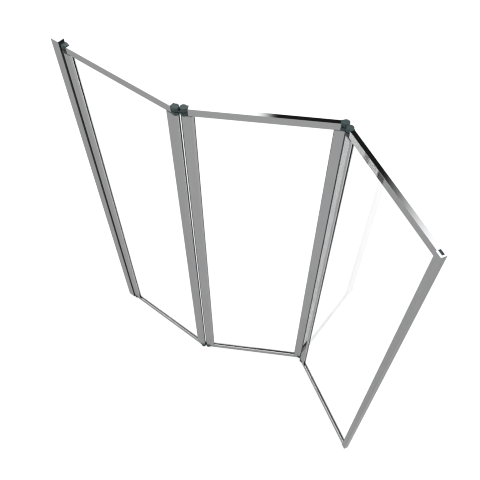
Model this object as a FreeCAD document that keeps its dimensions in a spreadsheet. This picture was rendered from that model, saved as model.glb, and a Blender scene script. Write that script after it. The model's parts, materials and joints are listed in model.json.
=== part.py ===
import FreeCAD, Part
import math
import os
import Sketcher

# Three-panel folding bath screen: framed glass panels that hang on a wall profile and fold flat against
# each other.
# Origin: wall face, at the foot of the wall profile, on the screen's centre plane.
# +X leaves the wall along the first panel, +Z is up, +Y is the far face of the first panel. Millimetres.
#
# Each panel is drawn in a frame of its own: x = 0 at its left pivot axis, x along the panel, y through its
# thickness with y = 0 at mid depth, z = 0 at the foot of the wall profile.

DIMENSIONS = {
    # wall side
    "profile_height": 1400.0,
    "profile_width": 29.5,
    "profile_depth": 21.0,
    "profile_wall": 1.8,
    "cover_thick": 1.5,
    "cover_tongue": 11.0,
    "post_start": 6.0,
    "post_end": 29.3,
    "post_depth": 16.8,
    "post_wall": 1.6,
    "post_mouth": 3.2,
    "seal_face": 31.2,
    "seal_depth": 20.0,
    "seal_gap": 0.3,
    "seal_neck": 2.8,
    "seal_root": 7.0,
    "wall_hole_radius": 2.6,
    "wall_hole_margin": 120.0,
    "fixing_radius": 1.9,
    "fixing_head_radius": 3.6,
    "fixing_length": 9.0,
    "fixing_margin": 200.0,
    # plan layout
    "pivot_offset": 40.5,
    "pivot_span": 405.0,
    "link_span": 20.5,
    "free_span": 405.0,
    "middle_fold": 30.0,
    "outer_fold": -60.0,
    # panel frames
    "frame_low": 5.0,
    "frame_high": 1391.0,
    "rail_height": 21.8,
    "rail_depth": 13.6,
    "rail_wall": 1.6,
    "rail_round": 0.5,
    "stile_depth": 18.0,
    "stile_reach": 26.0,
    "stile_wall": 1.7,
    "stile_face": 2.3,
    "stile_round": 1.0,
    "stile_end_slope": 1.6,
    "bead_run": 5.0,
    "bead_drop": 3.5,
    "free_width": 19.5,
    "free_groove": 15.0,
    "free_round": 2.5,
    "groove_width": 7.0,
    "groove_deep": 12.0,
    # glazing and seals
    "glass_thick": 4.0,
    "glass_gap": 2.0,
    "gasket_thick": 6.8,
    "gasket_proud": 0.3,
    "drip_base": 8.0,
    "drip_lip": 1.6,
    "drip_step": 0.8,
    "drip_drop": 3.5,
    # hinge caps, links and pins
    "lobe_radius": 9.9,
    "cap_reach": 12.0,
    "cap_height": 23.5,
    "cap_round": 0.8,
    "slot_low": 9.2,
    "slot_height": 5.0,
    "slot_reach": 8.6,
    "boss_radius": 7.0,
    "boss_length": 18.0,
    "spigot_length": 25.0,
    "link_thick": 3.6,
    "link_width": 12.0,
    "eye_radius": 8.0,
    "pin_radius": 3.0,
    "pin_play": 0.05,
    "pin_high": 21.3,
    "pin_low": 17.0,
    "washer_radius": 7.0,
    "washer_thick": 0.5,
    "bracket_height": 20.0,
    "bracket_length": 15.4,
    # clearance between pieces that only sit inside one another
    "slack": 0.2,
    "tongue_clear": 0.4,
    "lobe_clear": 0.5,
    # how far a cutting shape runs past the faces it opens
    "overrun": 1.0,
}

doc = FreeCAD.newDocument("folding_bath_screen")
sheet = doc.addObject("Spreadsheet::Sheet", "Sizes")
for row, (alias, number) in enumerate(DIMENSIONS.items(), start=1):
    sheet.set(f"A{row}", alias)
    sheet.set(f"B{row}", str(number))
    sheet.setAlias(f"B{row}", alias)
doc.recompute()


class Size:
    """A length with the spreadsheet formula that gives it, so that arithmetic keeps both in step."""

    def __init__(self, value, text):
        self.value = value
        self.text = text

    @staticmethod
    def of(other):
        return other if isinstance(other, Size) else Size(float(other), repr(float(other)))

    def __add__(self, other):
        other = Size.of(other)
        return Size(self.value + other.value, f"({self.text} + {other.text})")

    def __sub__(self, other):
        other = Size.of(other)
        return Size(self.value - other.value, f"({self.text} - {other.text})")

    def __mul__(self, factor):
        return Size(self.value * factor, f"({self.text} * {factor})")

    def __truediv__(self, divisor):
        return Size(self.value / divisor, f"({self.text} / {divisor})")

    def __neg__(self):
        return Size(-self.value, f"(0 - {self.text})")


def leg(long_side, short_side):
    """The other short side of a right triangle."""
    value = math.sqrt(long_side.value**2 - short_side.value**2)
    return Size(value, f"sqrt({long_side.text}^2 - {short_side.text}^2)")


class Sizes:
    """The spreadsheet's dimensions by name."""

    def __getattr__(self, alias):
        return Size(DIMENSIONS[alias], f"Sizes.{alias}")


size = Sizes()
zero = Size.of(0)
pieces = []

# How sketch constraints name a curve's points, and a sketch's own origin and axes
START, END, CENTRE = 1, 2, 3
ORIGIN = LEVEL_AXIS = -1
UPRIGHT_AXIS = -2


# ---- document helpers ----

def keep(piece, label, placement):
    """Name a finished sub-part and put it in its place."""
    piece.Label = label
    piece.Placement = placement
    pieces.append(piece)
    return piece


def bind(thing, path, length):
    """Tie one property to its formula."""
    thing.setExpression(path, length.text)


def new_sketch(body, name, plane="XY_Plane", offset=zero):
    """A sketch on one of the body's own origin planes, raised along that plane's normal by offset."""
    sketch = body.newObject("Sketcher::SketchObject", name)
    support = next(feature for feature in body.Origin.OriginFeatures if feature.Role == plane)
    sketch.AttachmentSupport = (support, [""])
    sketch.MapMode = "FlatFace"
    if offset.value:
        bind(sketch, "AttachmentOffset.Base.z", offset)
    return sketch


def hold_coordinate(sketch, kind, curve, end, value):
    """Fix one coordinate of a sketch point, DistanceX or DistanceY, bound to its formula."""
    if value.value == 0:
        axis = UPRIGHT_AXIS if kind == "DistanceX" else LEVEL_AXIS
        sketch.addConstraint(Sketcher.Constraint("PointOnObject", curve, end, axis))
        return
    origin, point = (ORIGIN, START), (curve, end)
    ends = origin + point if value.value > 0 else point + origin
    constraint = sketch.addConstraint(Sketcher.Constraint(kind, *ends, abs(value.value)))
    bind(sketch, f"Constraints[{constraint}]", value if value.value > 0 else -value)


def hold_point(sketch, curve, end, x, y):
    """Fix one point of a sketch curve at (x, y)."""
    hold_coordinate(sketch, "DistanceX", curve, end, x)
    hold_coordinate(sketch, "DistanceY", curve, end, y)


def draw_loop(sketch, corners, arc_centre_x=None):
    """A closed outline through corners. With arc_centre_x, the run from the last corner back to the first
    is an arc about (arc_centre_x, 0) that bulges away from the corners' side."""
    spots = [FreeCAD.Vector(x.value, y.value, 0) for x, y in corners]
    first = sketch.GeometryCount
    count = len(corners)
    straight = count if arc_centre_x is None else count - 1
    for i in range(straight):
        sketch.addGeometry(Part.LineSegment(spots[i], spots[(i + 1) % count]))
        hold_point(sketch, first + i, START, *corners[i])
    last = first + straight - 1
    for i in range(first, last):
        sketch.addConstraint(Sketcher.Constraint("Coincident", i, END, i + 1, START))
    if arc_centre_x is None:
        sketch.addConstraint(Sketcher.Constraint("Coincident", last, END, first, START))
        return
    hold_point(sketch, last, END, *corners[-1])
    # a sketch arc runs anticlockwise, so it starts at the upper corner when it bulges towards -x
    centre = FreeCAD.Vector(arc_centre_x.value, 0, 0)
    bulges_back = spots[1].x > spots[0].x
    ends = (spots[0], spots[-1]) if bulges_back else (spots[-1], spots[0])
    angles = [math.atan2(spot.y, spot.x - centre.x) for spot in ends]
    if angles[1] < angles[0]:
        angles[1] += 2 * math.pi
    circle = Part.Circle(centre, FreeCAD.Vector(0, 0, 1), (spots[0] - centre).Length)
    arc = sketch.addGeometry(Part.ArcOfCircle(circle, *angles))
    begin, end = (END, START) if bulges_back else (START, END)
    # a half circle runs smoothly out of its last line, and any other arc is set by its centre
    half_circle = arc_centre_x.value == spots[-1].x
    joint = "Tangent" if half_circle else "Coincident"
    sketch.addConstraint(Sketcher.Constraint(joint, last, END, arc, begin))
    sketch.addConstraint(Sketcher.Constraint("Coincident", arc, end, first, START))
    if not half_circle:
        hold_coordinate(sketch, "DistanceX", arc, CENTRE, arc_centre_x)


def draw_box(sketch, x_low, x_high, y_low, y_high):
    draw_loop(sketch, [(x_low, y_low), (x_high, y_low), (x_high, y_high), (x_low, y_high)])


def draw_circle(sketch, x, y, radius):
    centre = FreeCAD.Vector(x.value, y.value, 0)
    curve = sketch.addGeometry(Part.Circle(centre, FreeCAD.Vector(0, 0, 1), radius.value))
    hold_point(sketch, curve, CENTRE, x, y)
    constraint = sketch.addConstraint(Sketcher.Constraint("Radius", curve, radius.value))
    bind(sketch, f"Constraints[{constraint}]", radius)


def grow(body, kind, sketch, length, backwards=False):
    """Pad or pocket a sketch by a bound length. Unreversed, a pad follows the sketch's normal and a
    pocket goes against it."""
    feature = body.newObject(f"PartDesign::{kind}", kind)
    feature.Profile = sketch
    feature.Length = length.value
    feature.Reversed = backwards
    bind(feature, "Length", length)
    sketch.Visibility = False
    return feature


def near(a, b):
    """Whether two lengths in millimetres are the same but for rounding."""
    return abs(a - b) < 0.01


def ease_edges(body, base, kind, amount, chosen):
    """Fillet or chamfer the edges of base that the test chosen(edge) picks."""
    doc.recompute()
    names = [f"Edge{i}" for i, edge in enumerate(base.Shape.Edges, start=1) if chosen(edge)]
    feature = body.newObject(f"PartDesign::{kind}", kind)
    feature.Base = (base, names)
    measure = "Radius" if kind == "Fillet" else "Size"
    setattr(feature, measure, amount.value)
    bind(feature, measure, amount)
    return feature


def block(x_low, x_high, y_low, y_high, z_low, z_high):
    """A Part box between six bound faces."""
    box = doc.addObject("Part::Box", "Block")
    for side, low, high in (("Length", x_low, x_high), ("Width", y_low, y_high), ("Height", z_low, z_high)):
        bind(box, side, high - low)
    for axis, low in (("x", x_low), ("y", y_low), ("z", z_low)):
        bind(box, f"Placement.Base.{axis}", low)
    return box


def rod(radius, length):
    """A Part cylinder standing on its own origin."""
    cylinder = doc.addObject("Part::Cylinder", "Rod")
    bind(cylinder, "Radius", radius)
    bind(cylinder, "Height", length)
    return cylinder


def cut(base, tool):
    result = doc.addObject("Part::Cut", "Cut")
    result.Base = base
    result.Tool = tool
    return result


def group(members):
    result = doc.addObject("Part::Compound", "Group")
    result.Links = members
    return result


# ---- plan layout: where each panel and link stands with the screen half folded ----

def turn(axis, degrees):
    return FreeCAD.Placement(FreeCAD.Vector(0, 0, 0), FreeCAD.Rotation(axis, degrees))


def shift(x=0.0, y=0.0, z=0.0):
    return FreeCAD.Placement(FreeCAD.Vector(x, y, z), FreeCAD.Rotation())


UP = FreeCAD.Vector(0, 0, 1)
ALONG = FreeCAD.Vector(1, 0, 0)
END_FOR_END = turn(UP, 180)
UPSIDE_DOWN = turn(ALONG, 180)

span = size.pivot_span.value
reach = size.link_span.value
wall_hinge = shift(size.pivot_offset.value)
panel_1 = wall_hinge
middle_link = panel_1 * shift(span) * turn(UP, size.middle_fold.value)
panel_2 = middle_link * shift(reach)
outer_link = panel_2 * shift(span) * turn(UP, size.outer_fold.value)
panel_3 = outer_link * shift(reach)

# Heights shared by the frame pieces
rail_under = size.frame_high - size.rail_height
rail_over = size.frame_low + size.rail_height
link_rise = size.slot_low + size.slot_height / 2
TOP_CORNER = shift(z=rail_under.value)
LOW_CORNER = shift(z=rail_over.value) * UPSIDE_DOWN
corner_height = {"top": TOP_CORNER, "bottom": LOW_CORNER}


# ---- wall side ----

def make_wall_profile():
    """U channel that is screwed to the wall, open away from it."""
    body = doc.addObject("PartDesign::Body", "wall_profile")
    half = size.profile_depth / 2
    inner = half - size.profile_wall
    section = new_sketch(body, "section")
    draw_loop(section, [
        (zero, -half), (size.profile_width, -half), (size.profile_width, -inner),
        (size.profile_wall, -inner), (size.profile_wall, inner),
        (size.profile_width, inner), (size.profile_width, half), (zero, half)])
    grow(body, "Pad", section, size.profile_height - size.cover_thick)
    holes = new_sketch(body, "wall_screw_holes", "YZ_Plane")
    margin = size.wall_hole_margin
    for height in (margin, size.profile_height / 2, size.profile_height - margin):
        draw_circle(holes, zero, height, size.wall_hole_radius)
    grow(body, "Pocket", holes, size.profile_wall + size.overrun, backwards=True)
    # the far flange takes the countersunk fixing screws, drawn looking along +Y
    flange = new_sketch(body, "fixing_screw_holes", "XZ_Plane")
    for height in fixing_heights():
        draw_circle(flange, size.profile_width / 2, height, size.fixing_head_radius + size.slack)
    grow(body, "Pocket", flange, half * 2)
    return keep(body, "wall_profile", FreeCAD.Placement())


def fixing_heights():
    return (size.fixing_margin, size.profile_height / 2, size.profile_height - size.fixing_margin)


def make_profile_cover():
    """Flat lid on the wall profile with a tongue that drops behind the adjusting post."""
    body = doc.addObject("PartDesign::Body", "profile_cover")
    half = size.profile_depth / 2
    lid = new_sketch(body, "lid")
    draw_box(lid, zero, size.profile_width, -half, half)
    grow(body, "Pad", lid, size.cover_thick)
    tongue = new_sketch(body, "tongue")
    tongue_half = half - size.profile_wall - size.slack
    draw_box(tongue, size.profile_wall + size.slack, size.post_start - size.slack, -tongue_half, tongue_half)
    grow(body, "Pad", tongue, size.cover_tongue, backwards=True)
    return keep(body, "profile_cover", shift(z=(size.profile_height - size.cover_thick).value))


def make_adjusting_post():
    """Slotted box section that slides in the wall profile and carries the wall hinge."""
    body = doc.addObject("PartDesign::Body", "adjusting_post")
    half = size.post_depth / 2
    inner = half - size.post_wall
    lip = size.post_mouth / 2
    start, end = size.post_start, size.post_end
    wall = size.post_wall
    section = new_sketch(body, "section")
    draw_loop(section, [
        (end, lip), (end, half), (start, half), (start, -half), (end, -half), (end, -lip),
        (end - wall, -lip), (end - wall, -inner), (start + wall, -inner),
        (start + wall, inner), (end - wall, inner), (end - wall, lip)])
    grow(body, "Pad", section, size.profile_height - size.cover_thick * 2)
    notch_tongue_path(body, size.post_end, size.post_wall)
    screw_holes = new_sketch(body, "fixing_screw_holes", "XZ_Plane")
    for height in fixing_heights():
        draw_circle(screw_holes, size.profile_width / 2, height, size.fixing_radius + size.pin_play)
    grow(body, "Pocket", screw_holes, size.post_depth)
    return keep(body, "adjusting_post", FreeCAD.Placement())


def notch_tongue_path(body, front, thick):
    """Windows that let the two hinge tongues out through a wall whose outer face is the plane x = front."""
    half_width = size.link_width / 2 + size.tongue_clear
    half_height = size.link_thick / 2 + size.tongue_clear
    notches = new_sketch(body, "tongue_windows", "YZ_Plane", front + size.overrun)
    for height in (rail_under + link_rise, rail_over - link_rise):
        draw_box(notches, -half_width, half_width, height - half_height, height + half_height)
    grow(body, "Pocket", notches, thick + size.overrun * 2)


def make_wall_seal():
    """Rubber strip keyed into the post, which closes the gap to the first panel's round edge."""
    body = doc.addObject("PartDesign::Body", "wall_seal")
    half = size.seal_depth / 2
    back = size.post_end + size.seal_gap
    neck = size.seal_neck / 2
    root = size.seal_root / 2
    root_front = size.post_end - size.post_wall - size.slack
    root_back = root_front - size.post_wall
    section = new_sketch(body, "section")
    draw_loop(section, [
        (size.seal_face, -half), (size.seal_face, half), (back, half), (back, neck),
        (root_front, neck), (root_front, root), (root_back, root), (root_back, -root),
        (root_front, -root), (root_front, -neck), (back, -neck), (back, -half)])
    grow(body, "Pad", section, size.profile_height)
    relief_radius = size.lobe_radius + size.lobe_clear
    low_relief = new_sketch(body, "low_cap_relief")
    draw_circle(low_relief, size.pivot_offset, zero, relief_radius)
    grow(body, "Pocket", low_relief, rail_over, backwards=True)
    top_relief = new_sketch(body, "top_cap_relief", offset=size.profile_height)
    draw_circle(top_relief, size.pivot_offset, zero, relief_radius)
    grow(body, "Pocket", top_relief, size.profile_height - rail_under)
    notch_tongue_path(body, size.seal_face, size.seal_face - root_back)
    under_cover = new_sketch(body, "under_cover", offset=size.profile_height)
    draw_box(under_cover, root_back - size.overrun, back, -half, half)
    grow(body, "Pocket", under_cover, size.cover_thick + size.slack)
    return keep(body, "wall_seal", FreeCAD.Placement())


def make_wall_bracket(corner, rise):
    """Block clamped in the post with a tongue that ends in the wall hinge's eye. Its x = 0 is the eye."""
    body = doc.addObject("PartDesign::Body", "wall_bracket")
    half = size.link_width / 2
    back = -(size.pivot_offset - size.post_start - size.post_wall - size.slack * 2)
    tongue = new_sketch(body, "tongue", offset=-size.link_thick / 2)
    neck = -leg(size.eye_radius, half)
    draw_loop(tongue, [(neck, half), (back, half), (back, -half), (neck, -half)], zero)
    draw_circle(tongue, zero, zero, size.pin_radius)
    grow(body, "Pad", tongue, size.link_thick)
    clamp_half = size.post_depth / 2 - size.post_wall - size.slack
    clamp = new_sketch(body, "clamp_block", offset=-size.bracket_height / 2)
    draw_box(clamp, back, back + size.bracket_length, -clamp_half, clamp_half)
    grow(body, "Pad", clamp, size.bracket_height)
    return keep(body, f"wall_bracket_{corner}", wall_hinge * shift(z=rise.value))


def make_fixing_screws():
    """Countersunk screws through the far flange into the post."""
    members = []
    half = size.profile_depth / 2
    for height in fixing_heights():
        head = doc.addObject("Part::Cone", "Head")
        bind(head, "Radius1", size.fixing_head_radius)
        bind(head, "Radius2", size.fixing_radius)
        bind(head, "Height", size.profile_wall)
        shank = rod(size.fixing_radius, size.fixing_length)
        screw = doc.addObject("Part::Fuse", "Screw")
        screw.Base = head
        screw.Tool = shank
        place = FreeCAD.Vector(size.profile_width.value / 2, half.value, height.value)
        screw.Placement = FreeCAD.Placement(place, FreeCAD.Rotation(ALONG, 90))
        members.append(screw)
    return keep(group(members), "fixing_screws", FreeCAD.Placement())


# ---- hinges ----

def make_pins(name, frame, stations):
    """Pivot pins at each station along a link, top and bottom."""
    members = []
    for corner in corner_height.values():
        for station in stations:
            pin = rod(size.pin_radius, size.pin_high + size.pin_low)
            pin.Placement = shift(station) * corner * shift(z=-size.pin_low.value)
            members.append(pin)
    return keep(group(members), f"{name}_pins", frame)


def make_washers(name, frame, stations):
    """Thin sliding washers above and below each link eye."""
    members = []
    lower = size.slot_low.value + size.slack.value
    upper = size.slot_low.value + size.slot_height.value - size.slack.value - size.washer_thick.value
    for corner in corner_height.values():
        for station in stations:
            for rise in (lower, upper):
                disc = rod(size.washer_radius, size.washer_thick)
                hole = rod(size.pin_radius + size.pin_play, size.washer_thick)
                washer = cut(disc, hole)
                washer.Placement = shift(station) * corner * shift(z=rise)
                members.append(washer)
    return keep(group(members), f"{name}_washers", frame)


def make_link(name, corner, rise, frame):
    """Two-eyed plate that joins the end caps of neighbouring panels."""
    body = doc.addObject("PartDesign::Body", "link")
    half = size.link_width / 2
    plan = new_sketch(body, "plan", offset=-size.link_thick / 2)
    draw_box(plan, zero, size.link_span, -half, half)
    base = grow(body, "Pad", plan, size.link_thick)
    for name_part, station in (("first", zero), ("second", size.link_span)):
        eye = new_sketch(body, f"{name_part}_eye", offset=-size.link_thick / 2)
        draw_circle(eye, station, zero, size.eye_radius)
        base = grow(body, "Pad", eye, size.link_thick)
    bores = new_sketch(body, "pin_bores", offset=size.link_thick / 2)
    for station in (zero, size.link_span):
        draw_circle(bores, station, zero, size.pin_radius)
    grow(body, "Pocket", bores, size.link_thick)
    return keep(body, f"{name}_{corner}", frame * shift(z=rise.value))


def make_cap(panel_name, side, corner, frame, station):
    """Moulded corner cap: a round lobe about the pivot, slotted for the link, with a boss that drops into
    the stile and a spigot that enters the rail. Drawn for a top left corner with z = 0 on the stile."""
    body = doc.addObject("PartDesign::Body", "cap")
    half = size.rail_depth / 2
    flat = leg(size.lobe_radius, half)
    plan = new_sketch(body, "plan")
    draw_loop(plan, [(flat, half), (size.cap_reach, half), (size.cap_reach, -half), (flat, -half)], zero)
    shell = grow(body, "Pad", plan, size.cap_height)
    top = size.cap_height.value
    ease_edges(body, shell, "Fillet", size.cap_round, lambda edge: near(edge.BoundBox.ZMin, top))
    boss = new_sketch(body, "boss")
    draw_circle(boss, zero, zero, size.boss_radius)
    grow(body, "Pad", boss, size.boss_length, backwards=True)
    spigot = new_sketch(body, "spigot", "YZ_Plane", size.cap_reach)
    spigot_half = half - size.rail_wall - size.slack
    chamber_low = size.groove_deep + size.rail_wall
    chamber_high = size.rail_height - size.rail_wall
    draw_box(spigot, -spigot_half, spigot_half, chamber_low + size.slack, chamber_high - size.slack)
    grow(body, "Pad", spigot, size.spigot_length)
    slot = new_sketch(body, "link_slot", offset=size.slot_low)
    slot_half = size.lobe_radius + size.overrun
    draw_box(slot, -slot_half, size.slot_reach, -slot_half, slot_half)
    grow(body, "Pocket", slot, size.slot_height, backwards=True)
    bore = new_sketch(body, "pin_bore", offset=-size.boss_length)
    draw_circle(bore, zero, zero, size.pin_radius + size.pin_play)
    grow(body, "Pocket", bore, size.boss_length + size.pin_high + size.slack, backwards=True)
    place = frame * shift(station) * corner_height[corner]
    if side == "right":
        place = place * END_FOR_END
    return keep(body, f"{panel_name}_cap_{corner}_{side}", place)


# ---- panel frames ----

def make_hinge_stile(panel_name, side, frame, station):
    """Upright with a round edge about the pivot and a glazing groove on its other side."""
    body = doc.addObject("PartDesign::Body", "stile")
    half = size.stile_depth / 2
    groove = size.groove_width / 2
    wall = size.stile_wall
    mouth = size.stile_reach
    floor = mouth - size.groove_deep
    # a left stile slopes down to its groove like a glazing bead, and a right one stays square
    slope = [(mouth - size.bead_run, half), (mouth, half - size.bead_drop)]
    edge = slope if side == "left" else [(mouth, half)]
    upper = [(zero, half), *edge, (mouth, groove), (floor, groove)]
    section = new_sketch(body, "section")
    draw_loop(section, upper + [(x, -y) for x, y in reversed(upper)], zero)
    bore = size.boss_radius + size.slack / 2
    draw_circle(section, zero, zero, bore)
    chamber_out = half - size.stile_face
    chamber_end = mouth - size.bead_run
    draw_box(section, bore + wall, floor - wall, -chamber_out, chamber_out)
    draw_box(section, floor, chamber_end, groove + wall, chamber_out)
    draw_box(section, floor, chamber_end, -chamber_out, -(groove + wall))
    height = rail_under - rail_over
    shell = grow(body, "Pad", section, height)
    edge_x, edge_y, top = mouth.value, half.value, height.value
    # both ends slope back to the rail's face, which is set back from the stile's
    shell = ease_edges(body, shell, "Chamfer", size.stile_end_slope,
                       lambda edge: lies_at(edge, edge_y, 0) or lies_at(edge, edge_y, top))
    place = frame * shift(station, z=rail_over.value)
    if side == "right":
        ease_edges(body, shell, "Fillet", size.stile_round, lambda edge: stands_at(edge, edge_x, edge_y))
        place = place * END_FOR_END
    return keep(body, f"{panel_name}_stile_{side}", place)


def stands_at(edge, x, y):
    """Whether an edge is an upright one at (x, y) or (x, -y)."""
    box = edge.BoundBox
    upright = near(box.XLength, 0) and near(box.YLength, 0)
    return upright and near(box.XMin, x) and near(abs(box.YMin), y)


def make_free_stile(frame):
    """Closing upright of the last panel, a deep channel left open at both ends. x = 0 is its inner edge."""
    body = doc.addObject("PartDesign::Body", "free_stile")
    half = size.stile_depth / 2
    groove = size.groove_width / 2
    section = new_sketch(body, "section")
    draw_loop(section, [
        (zero, half), (zero, groove), (size.free_groove, groove), (size.free_groove, -groove),
        (zero, -groove), (zero, -half), (size.free_width, -half), (size.free_width, half)])
    shell = grow(body, "Pad", section, size.frame_high - size.frame_low)
    edge_x, edge_y = size.free_width.value, half.value
    ease_edges(body, shell, "Fillet", size.free_round, lambda edge: stands_at(edge, edge_x, edge_y))
    station = (size.free_span - size.free_width).value
    return keep(body, "panel_3_stile_free", frame * shift(station, z=size.frame_low.value))


def make_rail(panel_name, corner, frame, length):
    """Hollow rail between the corner caps, its glazing groove in its lower face. x = 0 is its left end."""
    body = doc.addObject("PartDesign::Body", "rail")
    half = size.rail_depth / 2
    groove = size.groove_width / 2
    wall = size.rail_wall
    section = new_sketch(body, "section", "YZ_Plane")
    draw_loop(section, [
        (-half, zero), (-groove, zero), (-groove, size.groove_deep), (groove, size.groove_deep),
        (groove, zero), (half, zero), (half, size.rail_height), (-half, size.rail_height)])
    draw_box(section, -(half - wall), half - wall, size.groove_deep + wall, size.rail_height - wall)
    shell = grow(body, "Pad", section, length)
    top = size.rail_height.value
    side = half.value
    ease_edges(body, shell, "Fillet", size.rail_round, lambda edge: lies_at(edge, side, top))
    place = frame * shift(size.cap_reach.value) * corner_height[corner]
    return keep(body, f"{panel_name}_rail_{corner}", place)


def lies_at(edge, y, z):
    """Whether an edge runs along the rail at (y, z) or (-y, z)."""
    box = edge.BoundBox
    along = near(box.YLength, 0) and near(box.ZLength, 0)
    return along and near(abs(box.YMin), y) and near(box.ZMin, z)


def make_glazing(panel_name, frame, frame_right, groove_right):
    """Glass pane and the channel gasket round its edge. frame_right is the right stile's inner edge and
    groove_right the floor of its groove."""
    slack = size.slack
    proud = size.gasket_proud
    half = size.gasket_thick / 2
    pane_half = size.glass_thick / 2
    left_floor = size.stile_reach - size.groove_deep
    low_floor = rail_over - size.groove_deep
    high_floor = rail_under + size.groove_deep
    left, right = left_floor + size.glass_gap, groove_right - size.glass_gap
    low, high = low_floor + size.glass_gap, high_floor - size.glass_gap

    pane = doc.addObject("PartDesign::Body", "glass")
    edge = new_sketch(pane, "edge", offset=low)
    draw_box(edge, left, right, -pane_half, pane_half)
    grow(pane, "Pad", edge, high - low)
    keep(pane, f"{panel_name}_glass", frame)

    outer = block(left_floor + slack, groove_right - slack, -half, half,
                  low_floor + slack, high_floor - slack)
    window = block(size.stile_reach + proud, frame_right - proud, -half, half,
                   rail_over + proud, rail_under - proud)
    slit = block(left, right, -pane_half, pane_half, low, high)
    return keep(cut(cut(outer, window), slit), f"{panel_name}_gasket", frame)


def make_drip_seal(panel_name, frame, length):
    """Soft sweep under the bottom rail."""
    body = doc.addObject("PartDesign::Body", "drip_seal")
    half = size.drip_base / 2
    lip = size.drip_lip / 2
    section = new_sketch(body, "section", "YZ_Plane")
    draw_loop(section, [
        (-half, zero), (-half, -size.drip_step), (-lip, -size.drip_step), (-lip, -size.drip_drop),
        (lip, -size.drip_drop), (lip, -size.drip_step), (half, -size.drip_step), (half, zero)])
    grow(body, "Pad", section, length)
    place = frame * shift(size.cap_reach.value, z=size.frame_low.value)
    return keep(body, f"{panel_name}_drip_seal", place)


def make_corner_keys(frame):
    """Plastic keys that tie the last panel's rails to its free stile."""
    half = size.groove_width / 2 - size.slack
    inside = size.groove_deep + size.rail_wall + size.slack
    outside = size.rail_height - size.rail_wall - size.slack
    inner_edge = size.free_span - size.free_width
    start = inner_edge - size.spigot_length
    end = inner_edge + size.free_groove - size.slack * 2
    members = [
        block(start, end, -half, half, rail_under + inside, rail_under + outside),
        block(start, end, -half, half, rail_over - outside, rail_over - inside)]
    return keep(group(members), "panel_3_corner_keys", frame)


# ---- build ----

link_heights = {"top": rail_under + link_rise, "bottom": rail_over - link_rise}

make_wall_profile()
make_profile_cover()
make_adjusting_post()
make_wall_seal()
make_fixing_screws()
for corner, rise in link_heights.items():
    make_wall_bracket(corner, rise)
make_pins("wall_hinge", wall_hinge, (0.0,))
make_washers("wall_hinge", wall_hinge, (0.0,))

for name, frame in (("middle_hinge", middle_link), ("outer_hinge", outer_link)):
    for corner, rise in link_heights.items():
        make_link(f"{name}_link", corner, rise, frame)
    make_pins(name, frame, (0.0, reach))
    make_washers(name, frame, (0.0, reach))

hinged_rail = size.pivot_span - size.cap_reach * 2
for name, frame in (("panel_1", panel_1), ("panel_2", panel_2)):
    for side, station in (("left", 0.0), ("right", span)):
        make_hinge_stile(name, side, frame, station)
        for corner in corner_height:
            make_cap(name, side, corner, frame, station)
    for corner in corner_height:
        make_rail(name, corner, frame, hinged_rail)
    right_edge = size.pivot_span - size.stile_reach
    make_glazing(name, frame, right_edge, right_edge + size.groove_deep)
    make_drip_seal(name, frame, hinged_rail)

free_edge = size.free_span - size.free_width
free_rail = free_edge - size.cap_reach
make_hinge_stile("panel_3", "left", panel_3, 0.0)
make_free_stile(panel_3)
for corner in corner_height:
    make_cap("panel_3", "left", corner, panel_3, 0.0)
    make_rail("panel_3", corner, panel_3, free_rail)
make_glazing("panel_3", panel_3, free_edge, free_edge + size.free_groove)
make_drip_seal("panel_3", panel_3, free_rail)
make_corner_keys(panel_3)

doc.recompute()


# ---- check and export ----

for thing in doc.Objects:
    if "Invalid" in thing.State or "Error" in thing.State:
        raise RuntimeError(f"{thing.Name} ({thing.Label}) failed: {thing.State}")
for piece in pieces:
    if piece.Shape.isNull() or not piece.Shape.isValid():
        raise RuntimeError(f"{piece.Label} has no valid shape")

os.makedirs("parts", exist_ok=True)
for piece in pieces:
    piece.Shape.exportStep(f"parts/{piece.Label}.step")
    solids = len(piece.Shape.Solids)
    print(f"{piece.Label}: {solids} solid(s), {piece.Shape.Volume / 1000:.2f} cm3")
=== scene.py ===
import json
import math

import bmesh
import bpy
from mathutils import Matrix, Vector

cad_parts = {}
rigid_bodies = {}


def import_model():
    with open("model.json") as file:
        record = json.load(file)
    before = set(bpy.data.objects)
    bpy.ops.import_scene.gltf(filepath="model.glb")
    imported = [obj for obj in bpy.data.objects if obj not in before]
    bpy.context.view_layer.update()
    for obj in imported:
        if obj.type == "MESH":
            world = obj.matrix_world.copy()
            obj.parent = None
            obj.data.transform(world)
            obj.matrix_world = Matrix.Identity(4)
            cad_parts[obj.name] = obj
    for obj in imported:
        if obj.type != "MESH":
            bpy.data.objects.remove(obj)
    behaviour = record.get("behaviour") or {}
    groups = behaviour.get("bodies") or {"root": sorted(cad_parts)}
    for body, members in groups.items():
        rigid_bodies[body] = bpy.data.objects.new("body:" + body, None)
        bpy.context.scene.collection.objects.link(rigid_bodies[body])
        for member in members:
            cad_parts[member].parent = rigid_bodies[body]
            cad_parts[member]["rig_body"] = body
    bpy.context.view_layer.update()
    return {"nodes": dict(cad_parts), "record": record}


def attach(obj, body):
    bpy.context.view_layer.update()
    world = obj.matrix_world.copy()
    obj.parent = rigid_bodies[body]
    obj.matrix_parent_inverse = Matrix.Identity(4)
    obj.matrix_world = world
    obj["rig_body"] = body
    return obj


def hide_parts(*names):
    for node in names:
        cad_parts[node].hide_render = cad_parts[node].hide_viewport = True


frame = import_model()
nodes = frame["nodes"]
scene = bpy.context.scene


# ---- node helpers ----

def new_material(name):
    mat = bpy.data.materials.new(name)
    mat.use_nodes = True
    nt = mat.node_tree
    nt.nodes.clear()
    out = nt.nodes.new("ShaderNodeOutputMaterial")
    shader = nt.nodes.new("ShaderNodeBsdfPrincipled")
    nt.links.new(shader.outputs["BSDF"], out.inputs["Surface"])
    return mat, nt, shader


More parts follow.
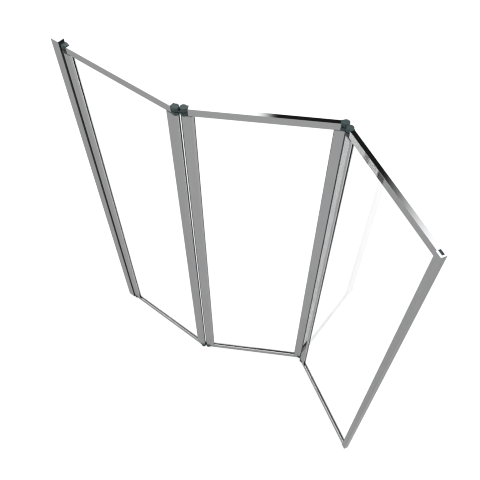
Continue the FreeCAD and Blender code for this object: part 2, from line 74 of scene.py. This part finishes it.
def coords(nt, heading=0.0, scale=(1, 1, 1), source="Object"):
    """Object coordinates in metres, or normals, turned into a panel's own frame and stretched."""
    tex = nt.nodes.new("ShaderNodeTexCoord")
    turn = nt.nodes.new("ShaderNodeVectorRotate")
    turn.rotation_type = "Z_AXIS"
    turn.inputs["Angle"].default_value = math.radians(-heading)
    nt.links.new(tex.outputs[source], turn.inputs["Vector"])
    stretch = nt.nodes.new("ShaderNodeMapping")
    stretch.inputs["Scale"].default_value = scale
    nt.links.new(turn.outputs["Vector"], stretch.inputs["Vector"])
    return stretch.outputs["Vector"]


def noise(nt, vector, scale, detail=2.0, rough=0.5):
    n = nt.nodes.new("ShaderNodeTexNoise")
    n.inputs["Scale"].default_value = scale
    n.inputs["Detail"].default_value = detail
    n.inputs["Roughness"].default_value = rough
    nt.links.new(vector, n.inputs["Vector"])
    return n.outputs["Fac"]


def spread(nt, value, low, high, from_low=0.3, from_high=0.7):
    m = nt.nodes.new("ShaderNodeMapRange")
    m.inputs["From Min"].default_value = from_low
    m.inputs["From Max"].default_value = from_high
    m.inputs["To Min"].default_value = low
    m.inputs["To Max"].default_value = high
    nt.links.new(value, m.inputs["Value"])
    return m.outputs["Result"]


def shade(nt, value, dark, light, from_low=0.3, from_high=0.7):
    ramp = nt.nodes.new("ShaderNodeValToRGB")
    ramp.color_ramp.elements[0].position = from_low
    ramp.color_ramp.elements[0].color = (*dark, 1)
    ramp.color_ramp.elements[1].position = from_high
    ramp.color_ramp.elements[1].color = (*light, 1)
    nt.links.new(value, ramp.inputs["Fac"])
    return ramp.outputs["Color"]


def calc(nt, operation, *terms, clamp=False):
    """A maths node over numbers and sockets."""
    m = nt.nodes.new("ShaderNodeMath")
    m.operation = operation
    m.use_clamp = clamp
    for socket, term in zip(m.inputs, terms):
        if isinstance(term, (int, float)):
            socket.default_value = term
        else:
            nt.links.new(term, socket)
    return m.outputs[0]


def emboss(nt, shader, height, distance, strength=1.0):
    b = nt.nodes.new("ShaderNodeBump")
    b.inputs["Distance"].default_value = distance
    b.inputs["Strength"].default_value = strength
    nt.links.new(height, b.inputs["Height"])
    nt.links.new(b.outputs["Normal"], shader.inputs["Normal"])


# ---- materials ----

ALUMINIUM_TONES = (0.282, 0.283, 0.287), (0.292, 0.293, 0.297)
# painted highlight: brighter metal tones for the bead's faces that slope down to the glass
PAINTED_HIGHLIGHT_TONES = (0.302, 0.304, 0.308), (0.318, 0.32, 0.324)
GLASS_TONES = (0.94, 0.946, 0.943), (0.944, 0.95, 0.947)
# keeps the polished metal from brightening at grazing angles
GRAZING_TINT = (0.65, 0.65, 0.65, 1.0)
# low enough for the panes to reflect as faintly as they should
GLASS_IOR = 1.25


def aluminium(name, heading, along, beaded=False):
    """Bright polished extrusion: faint die lines run along the bar, under a light haze of wear. A beaded one
    has a painted highlight: its base colour is brighter on the faces that slope down to the glass."""
    mat, nt, shader = new_material(name)
    across, slow = 420.0, 2.0
    stretch = (slow, across, across) if along == "X" else (across, across, slow)
    lines = noise(nt, coords(nt, heading, stretch), scale=1.0, detail=2.0, rough=0.6)
    cloud = noise(nt, coords(nt, heading), scale=7.0, detail=3.0)
    smudge = noise(nt, coords(nt, heading, (1, 1, 0.3)), scale=45.0, detail=4.0)
    tone = shade(nt, cloud, *ALUMINIUM_TONES)
    # painted highlight: faces whose normal slopes towards the glass get the brighter tones
    if beaded:
        split = nt.nodes.new("ShaderNodeSeparateXYZ")
        nt.links.new(coords(nt, heading, source="Normal"), split.inputs[0])
        slope = spread(nt, split.outputs["X"], low=0.0, high=1.0, from_low=0.3, from_high=0.5)
        mix = nt.nodes.new("ShaderNodeMix")
        mix.data_type = "RGBA"
        nt.links.new(slope, mix.inputs["Factor"])
        nt.links.new(tone, mix.inputs["A"])
        nt.links.new(shade(nt, cloud, *PAINTED_HIGHLIGHT_TONES), mix.inputs["B"])
        tone = mix.outputs["Result"]
    nt.links.new(tone, shader.inputs["Base Color"])
    wear = calc(nt, "MULTIPLY", spread(nt, lines, low=0.7, high=1.0), spread(nt, smudge, low=0.03, high=0.06))
    nt.links.new(wear, shader.inputs["Roughness"])
    shader.inputs["Metallic"].default_value = 1.0
    shader.inputs["Specular Tint"].default_value = GRAZING_TINT
    emboss(nt, shader, lines, distance=0.000002, strength=0.3)
    return mat


def clear_glass():
    """Toughened glass with the faint unevenness of the furnace rollers."""
    mat, nt, shader = new_material("clear_glass")
    shader.inputs["Transmission Weight"].default_value = 1.0
    shader.inputs["IOR"].default_value = GLASS_IOR
    haze = noise(nt, coords(nt), scale=6.0, detail=3.0)
    nt.links.new(shade(nt, haze, *GLASS_TONES), shader.inputs["Base Color"])
    nt.links.new(spread(nt, haze, low=0.0, high=0.01), shader.inputs["Roughness"])
    rollers = noise(nt, coords(nt, scale=(1, 1, 6)), scale=3.0, detail=1.0)
    emboss(nt, shader, rollers, distance=0.00002, strength=0.2)
    return mat


def moulding(name, dark, light, rough, specular=0.5, see_through=0.0):
    """Rubber or plastic with a fine moulded grain, mottled very slightly by handling."""
    mat, nt, shader = new_material(name)
    grain = noise(nt, coords(nt), scale=1400.0, detail=3.0)
    mottle = noise(nt, coords(nt), scale=55.0, detail=4.0)
    nt.links.new(shade(nt, mottle, dark, light), shader.inputs["Base Color"])
    nt.links.new(spread(nt, mottle, low=rough, high=rough + 0.1), shader.inputs["Roughness"])
    shader.inputs["Specular IOR Level"].default_value = specular
    shader.inputs["Transmission Weight"].default_value = see_through
    emboss(nt, shader, grain, distance=0.00004, strength=0.4)
    return mat


def metal(name, dark, light, rough, metallic):
    """Coated or turned small parts: a fine orange peel in the finish."""
    mat, nt, shader = new_material(name)
    cloud = noise(nt, coords(nt), scale=120.0, detail=4.0)
    peel = noise(nt, coords(nt), scale=2200.0, detail=2.0)
    nt.links.new(shade(nt, cloud, dark, light), shader.inputs["Base Color"])
    nt.links.new(spread(nt, cloud, low=rough, high=rough + 0.15), shader.inputs["Roughness"])
    shader.inputs["Metallic"].default_value = metallic
    emboss(nt, shader, peel, distance=0.00002, strength=0.3)
    return mat


HEADINGS = {"panel_1": 0.0, "panel_2": 30.0, "panel_3": -30.0}
finishes = {"clear_glass": clear_glass()}
for name, dark, light, rough, more in (
        ("black_rubber", (0.004, 0.004, 0.005), (0.008, 0.008, 0.009), 0.6, {"specular": 0.2}),
        ("clear_vinyl", (0.5, 0.52, 0.52), (0.6, 0.62, 0.62), 0.3, {"see_through": 0.6}),
        ("slate_plastic", (0.012, 0.024, 0.025), (0.015, 0.029, 0.03), 0.4, {"specular": 0.26}),
        ("white_nylon", (0.7, 0.7, 0.68), (0.78, 0.78, 0.76), 0.4, {})):
    finishes[name] = moulding(name, dark, light, rough, **more)
for name, dark, light, rough, metallic in (
        ("black_metal", (0.012, 0.012, 0.013), (0.02, 0.02, 0.021), 0.35, 0.0),
        ("stainless_steel", (0.5, 0.5, 0.5), (0.58, 0.58, 0.57), 0.2, 1.0)):
    finishes[name] = metal(name, dark, light, rough, metallic)
metals = {(body, along): aluminium(f"polished_aluminium_{body}_{along.lower()}", heading, along)
          for body, heading in (("wall_fixing", 0.0), *HEADINGS.items()) for along in "XZ"}
beaded_metals = {body: aluminium(f"polished_aluminium_{body}_beaded", heading, "Z", beaded=True)
                 for body, heading in HEADINGS.items()}

slots = {row["node"]: row["material_slot"] for row in frame["record"]["subparts"]}
for name, node in nodes.items():
    finish = slots[name]
    if name.endswith("_stile_left"):
        mat = beaded_metals[node["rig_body"]]
    elif finish == "polished_aluminium":
        along = "X" if "_rail_" in name else "Z"
        mat = metals[(node["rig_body"], along)]
    else:
        mat = finishes[finish]
    node.data.materials.clear()
    node.data.materials.append(mat)

# ---- soft pieces, in place of the plain CAD ones ----

MM = 0.001
WALL_PIVOT = 40.5


def frame_at(x, y, heading):
    """A panel's own frame: x along the panel from its left pivot, z up from the foot of the wall profile."""
    return Matrix.Translation((x, y, 0)) @ Matrix.Rotation(math.radians(heading), 4, "Z")


def onward(start, heading, distance):
    """The point a distance further along a heading."""
    angle = math.radians(heading)
    return start[0] + distance * math.cos(angle), start[1] + distance * math.sin(angle)


SPAN, LINK = 405 * MM, 20.5 * MM
hinge_1 = (WALL_PIVOT * MM, 0.0)
hinge_2 = onward(onward(hinge_1, HEADINGS["panel_1"], SPAN), HEADINGS["panel_2"], LINK)
hinge_3 = onward(onward(hinge_2, HEADINGS["panel_2"], SPAN), HEADINGS["panel_3"], LINK)
panel_frames = {name: frame_at(*spot, HEADINGS[name])
                for name, spot in zip(HEADINGS, (hinge_1, hinge_2, hinge_3))}


def soften(corners, radius, steps=3):
    """The closed outline through corners, each rounded off by radius, or by less on short sides."""
    side_share = 0.45
    outline = []
    count = len(corners)
    for i, corner in enumerate(corners):
        here = Vector(corner)
        ends = []
        for other in (corners[i - 1], corners[(i + 1) % count]):
            away = Vector(other) - here
            ends.append(here + away.normalized() * min(radius, away.length * side_share))
        for k in range(steps + 1):
            t = k / steps
            outline.append(ends[0] * (1 - t) ** 2 + here * 2 * t * (1 - t) + ends[1] * t**2)
    return outline


SHARP_ANGLE = math.radians(35)


def loft(name, rings, closed=False):
    """A mesh object through rings of equally many points. Open ones are capped at both ends."""
    bm = bmesh.new()
    loops = [[bm.verts.new(point) for point in ring] for ring in rings]
    count = len(loops[0])
    pairs = list(zip(loops, loops[1:]))
    if closed:
        pairs.append((loops[-1], loops[0]))
    for one, two in pairs:
        for i in range(count):
            j = (i + 1) % count
            bm.faces.new((one[i], one[j], two[j], two[i]))
    if not closed:
        bm.faces.new(loops[0])
        bm.faces.new(loops[-1])
    bmesh.ops.recalc_face_normals(bm, faces=bm.faces)
    made = bpy.data.meshes.new(name)
    bm.to_mesh(made)
    bm.free()
    made.shade_smooth()
    made.set_sharp_from_angle(angle=SHARP_ANGLE)
    return bpy.data.objects.new(name, made)


def show(obj, node, place):
    """Put a finished soft piece where its CAD node stands, in that node's finish and on its body."""
    obj.matrix_world = place
    scene.collection.objects.link(obj)
    obj.data.materials.append(finishes[slots[node]])
    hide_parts(node)
    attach(obj, nodes[node]["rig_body"])


def glazing_gasket(panel, floors, mouths):
    """Channel rubber round the pane. floors and mouths are the left, right, low and high edges of the frame's
    groove, at its floor and at its mouth; the section runs from the floor (0) to the mouth (1). The lip
    stands further out of the upright grooves than of the level ones."""
    outer, pane, proud, upright_proud = 3.4, 2.03, 0.3, 0.55
    # turns how far the lip stands out into a share of the groove
    depth = 12.3
    lip = 1 + proud / depth
    side = [(0.02, outer), (0.35, outer), (0.37, outer - 0.5), (0.41, outer - 0.5), (0.43, outer),
            (0.93, outer), (0.97, outer - 0.1), (1.0, outer - 0.25), (lip - 0.004, outer - 0.6),
            (lip, outer - 0.9), (lip - 0.004, pane + 0.12), (1.0, pane), (0.5, pane), (0.12, pane)]
    section = side + [(t, -y) for t, y in reversed(side)]
    rings = []
    for corner in ((0, 2), (1, 2), (1, 3), (0, 3)):
        ring = []
        for t, y in section:
            extra = (upright_proud - proud) / depth if t >= 1 else 0.0
            x, z = (floors[i] + (mouths[i] - floors[i]) * (t + more) for i, more in zip(corner, (extra, 0.0)))
            ring.append((x * MM, y * MM, z * MM))
        rings.append(ring)
    obj = loft(f"{panel}_gasket_rubber", rings, closed=True)
    show(obj, f"{panel}_gasket", panel_frames[panel])


def drip_sweep(panel, length):
    """Sweep under the bottom rail: a flat foot with three thin fins that taper to soft tips."""
    top, foot, half = 5.0, 4.2, 3.95
    outer_fin, outer_tip, middle_tip = 2.7, 2.1, 1.5
    fin_root, fin_tip = 0.55, 0.25
    corners = [(half, top), (half, foot)]
    for middle, tip in ((outer_fin, outer_tip), (0.0, middle_tip), (-outer_fin, outer_tip)):
        corners += [(middle + fin_root, foot), (middle + fin_tip, tip),
                    (middle - fin_tip, tip), (middle - fin_root, foot)]
    corners += [(-half, foot), (-half, top)]
    outline = soften(corners, radius=0.2)
    start, stations = 12.0, 12
    rings = [[((start + length * k / stations) * MM, y * MM, z * MM) for y, z in outline]
             for k in range(stations + 1)]
    show(loft(f"{panel}_drip_sweep", rings), f"{panel}_drip_seal", panel_frames[panel])


def prism(outline, low, high):
    """A throwaway cutting shape: an upright prism over an outline."""
    obj = loft("cutter", [[(x * MM, y * MM, z * MM) for x, y in outline] for z in (low, high)])
    scene.collection.objects.link(obj)
    return obj


def slab(x_low, x_high, half, low, high):
    return prism([(x_low, -half), (x_high, -half), (x_high, half), (x_low, half)], low, high)


def ribbed_wall_seal():
    """Ribbed rubber strip keyed into the post, relieved round the first panel's caps and hinge tongues."""
    back, front, half = 29.6, 31.2, 9.95
    neck, root, root_front, root_back = 1.4, 3.5, 27.5, 25.9
    ribs, per_rib, depth = 7, 12, 0.4
    count = ribs * per_rib
    face = []
    for k in range(count + 1):
        dip = depth * abs(math.cos(math.pi * k / per_rib)) ** 3
        face.append((front - dip, half * (2 * k / count - 1)))
    key = [(back, half), (back, neck), (root_front, neck), (root_front, root), (root_back, root),
           (root_back, -root), (root_front, -root), (root_front, -neck), (back, -neck), (back, -half)]
    height, low_cap, top_cap = 1400.0, 26.8, 1369.2
    rings = [[(x * MM, y * MM, z * MM) for x, y in face + key] for z in (0.0, low_cap, top_cap, height)]
    obj = loft("wall_seal_ribbed", rings)
    scene.collection.objects.link(obj)

    relief, sides, past = 10.4, 96, 1.0
    lobe = []
    for k in range(sides):
        angle = 2 * math.pi * k / sides
        lobe.append((WALL_PIVOT + relief * math.cos(angle), relief * math.sin(angle)))
    tongue_rise, tongue_half, tongue_tall, cover_relief = 11.7, 6.4, 2.2, 1.7
    cutters = [prism(lobe, -past, low_cap), prism(lobe, top_cap, height + past),
               slab(root_back - past, back, half + past, height - cover_relief, height + past)]
    for middle in (low_cap - tongue_rise, top_cap + tongue_rise):
        cutters.append(slab(root_back - past, front + past, tongue_half,
                            middle - tongue_tall, middle + tongue_tall))
    for cutter in cutters:
        carve = obj.modifiers.new("carve", "BOOLEAN")
        carve.operation = "DIFFERENCE"
        carve.solver = "EXACT"
        carve.object = cutter
    bpy.context.view_layer.update()
    carved = bpy.data.meshes.new_from_object(obj.evaluated_get(bpy.context.evaluated_depsgraph_get()))
    obj.modifiers.clear()
    obj.data = carved
    for cutter in cutters:
        bpy.data.objects.remove(cutter)
    scene.collection.objects.unlink(obj)
    show(obj, "wall_seal", Matrix.Identity(4))
    # wiped down with the panels, the stretch between the caps has greyed; the ends are still black
    greyed = moulding("greyed_rubber", (0.019, 0.019, 0.02), (0.027, 0.027, 0.029), rough=0.6, specular=0.2)
    obj.data.materials.append(greyed)
    for polygon in obj.data.polygons:
        polygon.material_index = 1 if low_cap * MM < polygon.center.z < top_cap * MM else 0


LOW_FLOOR, HIGH_FLOOR, LOW_MOUTH, HIGH_MOUTH = 14.8, 1381.2, 26.8, 1369.2
HINGED_FLOORS, HINGED_MOUTHS, HINGED_SWEEP = (14.0, 391.0), (26.0, 379.0), 381.0
FREE_FLOORS, FREE_MOUTHS, FREE_SWEEP = (14.0, 400.5), (26.0, 385.5), 373.5
for panel in HEADINGS:
    floors, mouths, sweep = HINGED_FLOORS, HINGED_MOUTHS, HINGED_SWEEP
    if panel == "panel_3":
        floors, mouths, sweep = FREE_FLOORS, FREE_MOUTHS, FREE_SWEEP
    glazing_gasket(panel, (*floors, LOW_FLOOR, HIGH_FLOOR), (*mouths, LOW_MOUTH, HIGH_MOUTH))
    drip_sweep(panel, sweep)
ribbed_wall_seal()

# ---- floor, world, camera ----

FLOOR_REACH, FLOOR_DROP = 30.0, 0.0004
FLOOR_GLOW, FLOOR_GLOW_BEHIND_GLASS = 0.86, 1.9


def backlit_floor():
    """A wide backlit sweep just under the screen."""
    mesh = bpy.data.meshes.new("floor")
    corners = [(x * FLOOR_REACH, y * FLOOR_REACH, 0) for x, y in ((-1, -1), (1, -1), (1, 1), (-1, 1))]
    mesh.from_pydata(corners, [], [(0, 1, 2, 3)])
    floor = bpy.data.objects.new("floor", mesh)
    floor.location.z = -FLOOR_DROP
    scene.collection.objects.link(floor)
    mat, nt, shader = new_material("backlit_sweep")
    speckle = noise(nt, coords(nt), scale=40.0, detail=3.0)
    nt.links.new(shade(nt, speckle, (0.1, 0.1, 0.1), (0.11, 0.11, 0.11)), shader.inputs["Base Color"])
    shader.inputs["Roughness"].default_value = 0.9
    shader.inputs["Specular IOR Level"].default_value = 0.1
    shader.inputs["Emission Color"].default_value = (1, 1, 1, 1)
    # it glows brighter for light that has both crossed the glass and been mirrored in a frame
    path = nt.nodes.new("ShaderNodeLightPath")
    behind = calc(nt, "MINIMUM", path.outputs["Transmission Depth"], path.outputs["Glossy Depth"])
    glow = spread(nt, behind, FLOOR_GLOW, FLOOR_GLOW_BEHIND_GLASS, from_low=0.0, from_high=1.0)
    nt.links.new(glow, shader.inputs["Emission Strength"])
    mat.cycles.emission_sampling = "NONE"
    mesh.materials.append(mat)


# Strengths of the dome, and of the soft boxes that mirror reflections see. Azimuths are in degrees from
# +y towards +x, and rises are sines of the angle above the horizon. Each pair is where an edge fades.
DOME_SIDE, DOME_TOP = 2.0, 3.4
DOME_RISE = 0.45, 0.95
BOX_LIGHT, BOX_GAP, BOX_SURROUND = 4.55, 0.042, 0.95
GAP_FROM, GAP_TO = (-36.0, -32.9), (-18.2, -5.8)
BOXES_FROM, BOXES_TO = (-95.0, -80.0), (20.0, 40.0)
BOXES_FOOT, BOXES_HEAD = (0.3, 0.4), (0.86, 0.94)


def world_light():
    """A white studio dome, brightest overhead. Mirror reflections see its soft boxes as separate panels of
    light with a dark gap between them, and everything else sees the dome blended evenly."""
    world = bpy.data.worlds.new("studio")
    scene.world = world
    world.use_nodes = True
    nt = world.node_tree
    nt.nodes.clear()
    new = nt.nodes.new
    out = new("ShaderNodeOutputWorld")
    dome, boxes, mix = new("ShaderNodeBackground"), new("ShaderNodeBackground"), new("ShaderNodeMixShader")
    path = new("ShaderNodeLightPath")
    tex = new("ShaderNodeTexCoord")
    split = new("ShaderNodeSeparateXYZ")
    nt.links.new(tex.outputs["Generated"], split.inputs[0])

    def ease(value, limits, to_low=0.0, to_high=1.0):
        m = new("ShaderNodeMapRange")
        m.interpolation_type = "SMOOTHSTEP"
        for key, number in zip(("From Min", "From Max", "To Min", "To Max"), (*limits, to_low, to_high)):
            m.inputs[key].default_value = number
        nt.links.new(value, m.inputs["Value"])
        return m.outputs["Result"]

    def fade(value, limits):
        return ease(value, limits, 1.0, 0.0)

    rise = split.outputs["Z"]
    nt.links.new(ease(rise, DOME_RISE, DOME_SIDE, DOME_TOP), dome.inputs["Strength"])

    azimuth = calc(nt, "MULTIPLY", calc(nt, "ARCTAN2", split.outputs["X"], split.outputs["Y"]), 180 / math.pi)
    beside_gap = calc(nt, "MAXIMUM", fade(azimuth, GAP_FROM), ease(azimuth, GAP_TO))
    panels = calc(nt, "MULTIPLY_ADD", beside_gap, BOX_LIGHT, BOX_GAP)
    # the panels of light hang behind the screen, from about 20 to 65 degrees up
    window = calc(nt, "MULTIPLY", ease(azimuth, BOXES_FROM), fade(azimuth, BOXES_TO))
    window = calc(nt, "MULTIPLY", window, ease(rise, BOXES_FOOT))
    window = calc(nt, "MULTIPLY", window, fade(rise, BOXES_HEAD))
    beyond = calc(nt, "SUBTRACT", panels, BOX_SURROUND)
    nt.links.new(calc(nt, "MULTIPLY_ADD", beyond, window, BOX_SURROUND), boxes.inputs["Strength"])

    glossy, through = path.outputs["Is Glossy Ray"], path.outputs["Is Transmission Ray"]
    mirrored = calc(nt, "SUBTRACT", glossy, through, clamp=True)
    first_hand = calc(nt, "LESS_THAN", path.outputs["Diffuse Depth"], 0.5)
    nt.links.new(calc(nt, "MULTIPLY", mirrored, first_hand), mix.inputs["Fac"])
    nt.links.new(dome.outputs[0], mix.inputs[1])
    nt.links.new(boxes.outputs[0], mix.inputs[2])
    nt.links.new(mix.outputs[0], out.inputs["Surface"])


CAMERA_AT = 1.256673, -0.782162, 2.397854
CAMERA_RIGHT = 0.79116628, 0.61159904, -0.0015934
CAMERA_UP = -0.49984613, 0.6480993, 0.57456169
CAMERA_AHEAD = -0.35243406, 0.45377738, -0.81845973


def stand_camera():
    cam = bpy.data.cameras.new("camera")
    cam.sensor_width = 36.0
    cam.lens = 43.923
    cam.clip_start, cam.clip_end = 0.01, 100.0
    camera = bpy.data.objects.new("camera", cam)
    turn = Matrix((Vector(CAMERA_RIGHT), Vector(CAMERA_UP), -Vector(CAMERA_AHEAD))).transposed().to_4x4()
    camera.matrix_world = Matrix.Translation(CAMERA_AT) @ turn
    scene.collection.objects.link(camera)
    scene.camera = camera


backlit_floor()
world_light()
stand_camera()

scene.cycles.filter_width = 1.1
scene.cycles.blur_glossy = 0.0
scene.view_settings.view_transform = "Standard"
scene.view_settings.look = "None"
